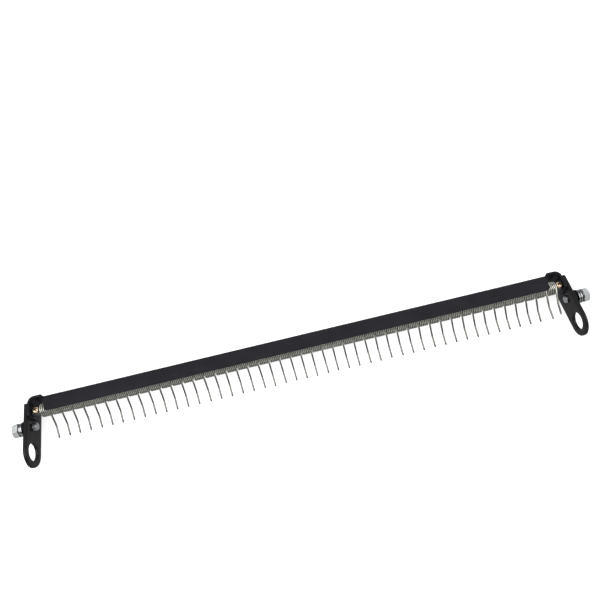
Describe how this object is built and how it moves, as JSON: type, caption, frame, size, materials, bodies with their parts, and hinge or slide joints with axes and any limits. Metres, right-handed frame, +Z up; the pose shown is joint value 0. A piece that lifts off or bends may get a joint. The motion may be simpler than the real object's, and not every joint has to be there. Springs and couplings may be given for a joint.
{
  "type": "sprung comb bar",
  "caption": "Comb bar: a folded black channel over a rod carrying a close row of torsion-spring wire tines, hung between two drilled flat end arms.",
  "frame": {"origin": "centre of the underside of the bounding box, on the surface that the arms' back edges lie on", "axes": "+X along the bar, -Y from the bar towards the arms' shaft holes, +Z up out of the channel's front face"},
  "size_m": [0.5978, 0.068, 0.032],
  "materials": {
    "channel_paint": "satin black enamel on folded sheet steel",
    "bracket_paint": "satin black enamel on bent sheet steel",
    "arm_paint": "semi-gloss black enamel on flat bar",
    "spring_wire": "drawn spring wire, tempered",
    "rod_steel": "ground bright bar",
    "zinc_plate": "bright zinc plate",
    "washer_zinc": "bright zinc plate",
    "yellow_chromate": "yellow chromate over zinc plate"
  },
  "bodies": {
    "comb_frame": {"channel": "channel_paint", "spring_rod": "rod_steel", "end_bracket_left": "bracket_paint", "arm_left": "arm_paint", "bolt_left": "zinc_plate", "washers_left": "washer_zinc", "rod_screw_left": "yellow_chromate", "end_bracket_right": "bracket_paint", "arm_right": "arm_paint", "bolt_right": "zinc_plate", "washers_right": "washer_zinc", "rod_screw_right": "yellow_chromate"},
    "tine_01": {"spring_tine_01": "spring_wire"},
    "tine_02": {"spring_tine_02": "spring_wire"},
    "tine_03": {"spring_tine_03": "spring_wire"},
    "tine_04": {"spring_tine_04": "spring_wire"},
    "tine_05": {"spring_tine_05": "spring_wire"},
    "tine_06": {"spring_tine_06": "spring_wire"},
    "tine_07": {"spring_tine_07": "spring_wire"},
    "tine_08": {"spring_tine_08": "spring_wire"},
    "tine_09": {"spring_tine_09": "spring_wire"},
    "tine_10": {"spring_tine_10": "spring_wire"},
    "tine_11": {"spring_tine_11": "spring_wire"},
    "tine_12": {"spring_tine_12": "spring_wire"},
    "tine_13": {"spring_tine_13": "spring_wire"},
    "tine_14": {"spring_tine_14": "spring_wire"},
    "tine_15": {"spring_tine_15": "spring_wire"},
    "tine_16": {"spring_tine_16": "spring_wire"},
    "tine_17": {"spring_tine_17": "spring_wire"},
    "tine_18": {"spring_tine_18": "spring_wire"},
    "tine_19": {"spring_tine_19": "spring_wire"},
    "tine_20": {"spring_tine_20": "spring_wire"},
    "tine_21": {"spring_tine_21": "spring_wire"},
    "tine_22": {"spring_tine_22": "spring_wire"},
    "tine_23": {"spring_tine_23": "spring_wire"},
    "tine_24": {"spring_tine_24": "spring_wire"},
    "tine_25": {"spring_tine_25": "spring_wire"},
    "tine_26": {"spring_tine_26": "spring_wire"},
    "tine_27": {"spring_tine_27": "spring_wire"},
    "tine_28": {"spring_tine_28": "spring_wire"},
    "tine_29": {"spring_tine_29": "spring_wire"},
    "tine_30": {"spring_tine_30": "spring_wire"},
    "tine_31": {"spring_tine_31": "spring_wire"},
    "tine_32": {"spring_tine_32": "spring_wire"},
    "tine_33": {"spring_tine_33": "spring_wire"},
    "tine_34": {"spring_tine_34": "spring_wire"},
    "tine_35": {"spring_tine_35": "spring_wire"},
    "tine_36": {"spring_tine_36": "spring_wire"},
    "tine_37": {"spring_tine_37": "spring_wire"},
    "tine_38": {"spring_tine_38": "spring_wire"},
    "tine_39": {"spring_tine_39": "spring_wire"},
    "tine_40": {"spring_tine_40": "spring_wire"},
    "tine_41": {"spring_tine_41": "spring_wire"},
    "tine_42": {"spring_tine_42": "spring_wire"},
    "tine_43": {"spring_tine_43": "spring_wire"},
    "tine_44": {"spring_tine_44": "spring_wire"},
    "tine_45": {"spring_tine_45": "spring_wire"},
    "tine_46": {"spring_tine_46": "spring_wire"},
    "tine_47": {"spring_tine_47": "spring_wire"},
    "tine_48": {"spring_tine_48": "spring_wire"}
  },
  "joints": [
    {"name": "tine_01_flex", "type": "hinge", "parent": "comb_frame", "child": "tine_01", "pos_m": [-0.26141, 0.01955, 0.023], "axis": [1, 0, 0], "range_deg": [-10, 35], "stiffness_Nm_per_rad": 0.35},
    {"name": "tine_02_flex", "type": "hinge", "parent": "comb_frame", "child": "tine_02", "pos_m": [-0.25043, 0.01955, 0.023], "axis": [1, 0, 0], "range_deg": [-10, 35], "stiffness_Nm_per_rad": 0.35},
    {"name": "tine_03_flex", "type": "hinge", "parent": "comb_frame", "child": "tine_03", "pos_m": [-0.23947, 0.01955, 0.023], "axis": [1, 0, 0], "range_deg": [-10, 35], "stiffness_Nm_per_rad": 0.35},
    {"name": "tine_04_flex", "type": "hinge", "parent": "comb_frame", "child": "tine_04", "pos_m": [-0.22849, 0.01955, 0.023], "axis": [1, 0, 0], "range_deg": [-10, 35], "stiffness_Nm_per_rad": 0.35},
    {"name": "tine_05_flex", "type": "hinge", "parent": "comb_frame", "child": "tine_05", "pos_m": [-0.21749, 0.01955, 0.023], "axis": [1, 0, 0], "range_deg": [-10, 35], "stiffness_Nm_per_rad": 0.35},
    {"name": "tine_06_flex", "type": "hinge", "parent": "comb_frame", "child": "tine_06", "pos_m": [-0.20646, 0.01955, 0.023], "axis": [1, 0, 0], "range_deg": [-10, 35], "stiffness_Nm_per_rad": 0.35},
    {"name": "tine_07_flex", "type": "hinge", "parent": "comb_frame", "child": "tine_07", "pos_m": [-0.19539, 0.01955, 0.023], "axis": [1, 0, 0], "range_deg": [-10, 35], "stiffness_Nm_per_rad": 0.35},
    {"name": "tine_08_flex", "type": "hinge", "parent": "comb_frame", "child": "tine_08", "pos_m": [-0.18427, 0.01955, 0.023], "axis": [1, 0, 0], "range_deg": [-10, 35], "stiffness_Nm_per_rad": 0.35},
    {"name": "tine_09_flex", "type": "hinge", "parent": "comb_frame", "child": "tine_09", "pos_m": [-0.17309, 0.01955, 0.023], "axis": [1, 0, 0], "range_deg": [-10, 35], "stiffness_Nm_per_rad": 0.35},
    {"name": "tine_10_flex", "type": "hinge", "parent": "comb_frame", "child": "tine_10", "pos_m": [-0.16186, 0.01955, 0.023], "axis": [1, 0, 0], "range_deg": [-10, 35], "stiffness_Nm_per_rad": 0.35},
    {"name": "tine_11_flex", "type": "hinge", "parent": "comb_frame", "child": "tine_11", "pos_m": [-0.15059, 0.01955, 0.023], "axis": [1, 0, 0], "range_deg": [-10, 35], "stiffness_Nm_per_rad": 0.35},
    {"name": "tine_12_flex", "type": "hinge", "parent": "comb_frame", "child": "tine_12", "pos_m": [-0.13929, 0.01955, 0.023], "axis": [1, 0, 0], "range_deg": [-10, 35], "stiffness_Nm_per_rad": 0.35},
    {"name": "tine_13_flex", "type": "hinge", "parent": "comb_frame", "child": "tine_13", "pos_m": [-0.12797, 0.01955, 0.023], "axis": [1, 0, 0], "range_deg": [-10, 35], "stiffness_Nm_per_rad": 0.35},
    {"name": "tine_14_flex", "type": "hinge", "parent": "comb_frame", "child": "tine_14", "pos_m": [-0.11663, 0.01955, 0.023], "axis": [1, 0, 0], "range_deg": [-10, 35], "stiffness_Nm_per_rad": 0.35},
    {"name": "tine_15_flex", "type": "hinge", "parent": "comb_frame", "child": "tine_15", "pos_m": [-0.10531, 0.01955, 0.023], "axis": [1, 0, 0], "range_deg": [-10, 35], "stiffness_Nm_per_rad": 0.35},
    {"name": "tine_16_flex", "type": "hinge", "parent": "comb_frame", "child": "tine_16", "pos_m": [-0.09401, 0.01955, 0.023], "axis": [1, 0, 0], "range_deg": [-10, 35], "stiffness_Nm_per_rad": 0.35},
    {"name": "tine_17_flex", "type": "hinge", "parent": "comb_frame", "child": "tine_17", "pos_m": [-0.08274, 0.01955, 0.023], "axis": [1, 0, 0], "range_deg": [-10, 35], "stiffness_Nm_per_rad": 0.35},
    {"name": "tine_18_flex", "type": "hinge", "parent": "comb_frame", "child": "tine_18", "pos_m": [-0.07151, 0.01955, 0.023], "axis": [1, 0, 0], "range_deg": [-10, 35], "stiffness_Nm_per_rad": 0.35},
    {"name": "tine_19_flex", "type": "hinge", "parent": "comb_frame", "child": "tine_19", "pos_m": [-0.06033, 0.01955, 0.023], "axis": [1, 0, 0], "range_deg": [-10, 35], "stiffness_Nm_per_rad": 0.35},
    {"name": "tine_20_flex", "type": "hinge", "parent": "comb_frame", "child": "tine_20", "pos_m": [-0.04921, 0.01955, 0.023], "axis": [1, 0, 0], "range_deg": [-10, 35], "stiffness_Nm_per_rad": 0.35},
    {"name": "tine_21_flex", "type": "hinge", "parent": "comb_frame", "child": "tine_21", "pos_m": [-0.03814, 0.01955, 0.023], "axis": [1, 0, 0], "range_deg": [-10, 35], "stiffness_Nm_per_rad": 0.35},
    {"name": "tine_22_flex", "type": "hinge", "parent": "comb_frame", "child": "tine_22", "pos_m": [-0.02711, 0.01955, 0.023], "axis": [1, 0, 0], "range_deg": [-10, 35], "stiffness_Nm_per_rad": 0.35},
    {"name": "tine_23_flex", "type": "hinge", "parent": "comb_frame", "child": "tine_23", "pos_m": [-0.01611, 0.01955, 0.023], "axis": [1, 0, 0], "range_deg": [-10, 35], "stiffness_Nm_per_rad": 0.35},
    {"name": "tine_24_flex", "type": "hinge", "parent": "comb_frame", "child": "tine_24", "pos_m": [-0.00513, 0.01955, 0.023], "axis": [1, 0, 0], "range_deg": [-10, 35], "stiffness_Nm_per_rad": 0.35},
    {"name": "tine_25_flex", "type": "hinge", "parent": "comb_frame", "child": "tine_25", "pos_m": [0.00583, 0.01955, 0.023], "axis": [1, 0, 0], "range_deg": [-10, 35], "stiffness_Nm_per_rad": 0.35},
    {"name": "tine_26_flex", "type": "hinge", "parent": "comb_frame", "child": "tine_26", "pos_m": [0.01681, 0.01955, 0.023], "axis": [1, 0, 0], "range_deg": [-10, 35], "stiffness_Nm_per_rad": 0.35},
    {"name": "tine_27_flex", "type": "hinge", "parent": "comb_frame", "child": "tine_27", "pos_m": [0.02781, 0.01955, 0.023], "axis": [1, 0, 0], "range_deg": [-10, 35], "stiffness_Nm_per_rad": 0.35},
    {"name": "tine_28_flex", "type": "hinge", "parent": "comb_frame", "child": "tine_28", "pos_m": [0.03884, 0.01955, 0.023], "axis": [1, 0, 0], "range_deg": [-10, 35], "stiffness_Nm_per_rad": 0.35},
    {"name": "tine_29_flex", "type": "hinge", "parent": "comb_frame", "child": "tine_29", "pos_m": [0.04991, 0.01955, 0.023], "axis": [1, 0, 0], "range_deg": [-10, 35], "stiffness_Nm_per_rad": 0.35},
    {"name": "tine_30_flex", "type": "hinge", "parent": "comb_frame", "child": "tine_30", "pos_m": [0.06103, 0.01955, 0.023], "axis": [1, 0, 0], "range_deg": [-10, 35], "stiffness_Nm_per_rad": 0.35},
    {"name": "tine_31_flex", "type": "hinge", "parent": "comb_frame", "child": "tine_31", "pos_m": [0.07221, 0.01955, 0.023], "axis": [1, 0, 0], "range_deg": [-10, 35], "stiffness_Nm_per_rad": 0.35},
    {"name": "tine_32_flex", "type": "hinge", "parent": "comb_frame", "child": "tine_32", "pos_m": [0.08344, 0.01955, 0.023], "axis": [1, 0, 0], "range_deg": [-10, 35], "stiffness_Nm_per_rad": 0.35},
    {"name": "tine_33_flex", "type": "hinge", "parent": "comb_frame", "child": "tine_33", "pos_m": [0.09471, 0.01955, 0.023], "axis": [1, 0, 0], "range_deg": [-10, 35], "stiffness_Nm_per_rad": 0.35},
    {"name": "tine_34_flex", "type": "hinge", "parent": "comb_frame", "child": "tine_34", "pos_m": [0.10601, 0.01955, 0.023], "axis": [1, 0, 0], "range_deg": [-10, 35], "stiffness_Nm_per_rad": 0.35},
    {"name": "tine_35_flex", "type": "hinge", "parent": "comb_frame", "child": "tine_35", "pos_m": [0.11733, 0.01955, 0.023], "axis": [1, 0, 0], "range_deg": [-10, 35], "stiffness_Nm_per_rad": 0.35},
    {"name": "tine_36_flex", "type": "hinge", "parent": "comb_frame", "child": "tine_36", "pos_m": [0.12867, 0.01955, 0.023], "axis": [1, 0, 0], "range_deg": [-10, 35], "stiffness_Nm_per_rad": 0.35},
    {"name": "tine_37_flex", "type": "hinge", "parent": "comb_frame", "child": "tine_37", "pos_m": [0.13999, 0.01955, 0.023], "axis": [1, 0, 0], "range_deg": [-10, 35], "stiffness_Nm_per_rad": 0.35},
    {"name": "tine_38_flex", "type": "hinge", "parent": "comb_frame", "child": "tine_38", "pos_m": [0.15129, 0.01955, 0.023], "axis": [1, 0, 0], "range_deg": [-10, 35], "stiffness_Nm_per_rad": 0.35},
    {"name": "tine_39_flex", "type": "hinge", "parent": "comb_frame", "child": "tine_39", "pos_m": [0.16256, 0.01955, 0.023], "axis": [1, 0, 0], "range_deg": [-10, 35], "stiffness_Nm_per_rad": 0.35},
    {"name": "tine_40_flex", "type": "hinge", "parent": "comb_frame", "child": "tine_40", "pos_m": [0.17379, 0.01955, 0.023], "axis": [1, 0, 0], "range_deg": [-10, 35], "stiffness_Nm_per_rad": 0.35},
    {"name": "tine_41_flex", "type": "hinge", "parent": "comb_frame", "child": "tine_41", "pos_m": [0.18496, 0.01955, 0.023], "axis": [1, 0, 0], "range_deg": [-10, 35], "stiffness_Nm_per_rad": 0.35},
    {"name": "tine_42_flex", "type": "hinge", "parent": "comb_frame", "child": "tine_42", "pos_m": [0.19609, 0.01955, 0.023], "axis": [1, 0, 0], "range_deg": [-10, 35], "stiffness_Nm_per_rad": 0.35},
    {"name": "tine_43_flex", "type": "hinge", "parent": "comb_frame", "child": "tine_43", "pos_m": [0.20716, 0.01955, 0.023], "axis": [1, 0, 0], "range_deg": [-10, 35], "stiffness_Nm_per_rad": 0.35},
    {"name": "tine_44_flex", "type": "hinge", "parent": "comb_frame", "child": "tine_44", "pos_m": [0.21819, 0.01955, 0.023], "axis": [1, 0, 0], "range_deg": [-10, 35], "stiffness_Nm_per_rad": 0.35},
    {"name": "tine_45_flex", "type": "hinge", "parent": "comb_frame", "child": "tine_45", "pos_m": [0.22919, 0.01955, 0.023], "axis": [1, 0, 0], "range_deg": [-10, 35], "stiffness_Nm_per_rad": 0.35},
    {"name": "tine_46_flex", "type": "hinge", "parent": "comb_frame", "child": "tine_46", "pos_m": [0.24017, 0.01955, 0.023], "axis": [1, 0, 0], "range_deg": [-10, 35], "stiffness_Nm_per_rad": 0.35},
    {"name": "tine_47_flex", "type": "hinge", "parent": "comb_frame", "child": "tine_47", "pos_m": [0.25113, 0.01955, 0.023], "axis": [1, 0, 0], "range_deg": [-10, 35], "stiffness_Nm_per_rad": 0.35},
    {"name": "tine_48_flex", "type": "hinge", "parent": "comb_frame", "child": "tine_48", "pos_m": [0.26211, 0.01955, 0.023], "axis": [1, 0, 0], "range_deg": [-10, 35], "stiffness_Nm_per_rad": 0.35}
  ]
}
